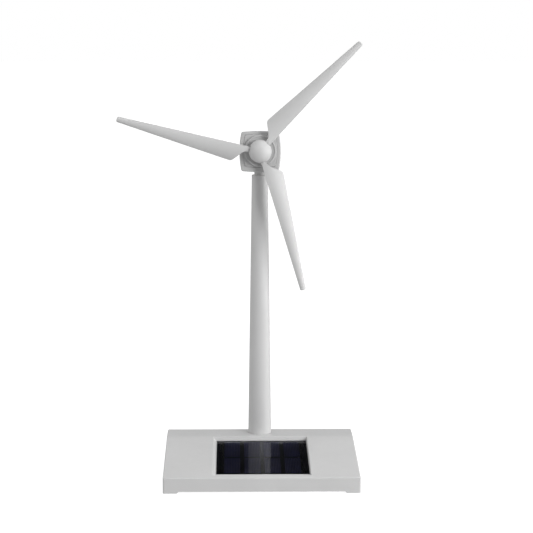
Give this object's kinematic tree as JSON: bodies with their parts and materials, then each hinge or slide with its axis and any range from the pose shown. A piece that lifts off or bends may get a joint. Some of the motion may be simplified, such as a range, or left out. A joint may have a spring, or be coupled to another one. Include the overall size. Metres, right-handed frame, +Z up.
{
  "type": "small wind turbine",
  "caption": "Desk-top wind turbine model: bladed rotor on a turning motor nacelle, tapered tower and a sloping base with an inset solar panel.",
  "frame": {"origin": "middle of the base's footprint, on the surface that the turbine stands on", "axes": "+X to the right and +Y to the rear seen from the front, +Z up; the rotor faces -Y at rest"},
  "size_m": [0.1909, 0.1375, 0.3382],
  "materials": {
    "white_plastic": "semi-matt white moulded plastic",
    "dark_plastic": "dark moulded plastic",
    "nylon": "natural nylon",
    "steel": "zinc-plated steel",
    "spring_steel": "spring steel",
    "bronze": "sintered bronze",
    "copper": "enamelled copper wire",
    "core_steel": "laminated iron",
    "ferrite": "ferrite magnet",
    "board": "black circuit board",
    "silicon": "dark blue silicon cells",
    "resin": "clear glossy resin",
    "foam_tape": "white foam tape",
    "red_lead": "red insulation",
    "black_lead": "black insulation"
  },
  "bodies": {
    "stand": {"base_housing": "white_plastic", "base_cover": "white_plastic", "base_screws": "steel", "panel_board": "board", "panel_cells": "silicon", "panel_resin": "resin", "panel_tape": "foam_tape", "tower": "white_plastic", "tower_clamp": "steel", "tower_screws": "steel", "yaw_bush": "nylon", "lead_red_lower": "red_lead", "lead_black_lower": "black_lead"},
    "nacelle": {"nacelle_shell": "white_plastic", "nacelle_front": "white_plastic", "nacelle_collar": "white_plastic", "yaw_spigot": "white_plastic", "yaw_clip": "spring_steel", "spigot_screws": "steel", "motor_can": "steel", "motor_end_cap": "dark_plastic", "motor_front_bush": "bronze", "motor_rear_bush": "bronze", "motor_magnets": "ferrite", "motor_brushes": "bronze", "motor_terminals": "copper", "motor_screws": "steel", "lead_red_upper": "red_lead", "lead_black_upper": "black_lead"},
    "rotor": {"motor_shaft": "steel", "armature_core": "core_steel", "armature_coils": "copper", "commutator": "copper", "hub": "white_plastic", "spinner": "white_plastic", "blade_1": "white_plastic", "blade_2": "white_plastic", "blade_3": "white_plastic"}
  },
  "joints": [
    {"name": "nacelle_yaw", "type": "hinge", "parent": "stand", "child": "nacelle", "pos_m": [0, 0.0445, 0.2268], "axis": [0, 0, 1], "range_deg": [-90, 90]},
    {"name": "rotor_spin", "type": "hinge", "parent": "nacelle", "child": "rotor", "pos_m": [0, 0.0445, 0.2531], "axis": [0, -1, 0], "continuous": true}
  ]
}
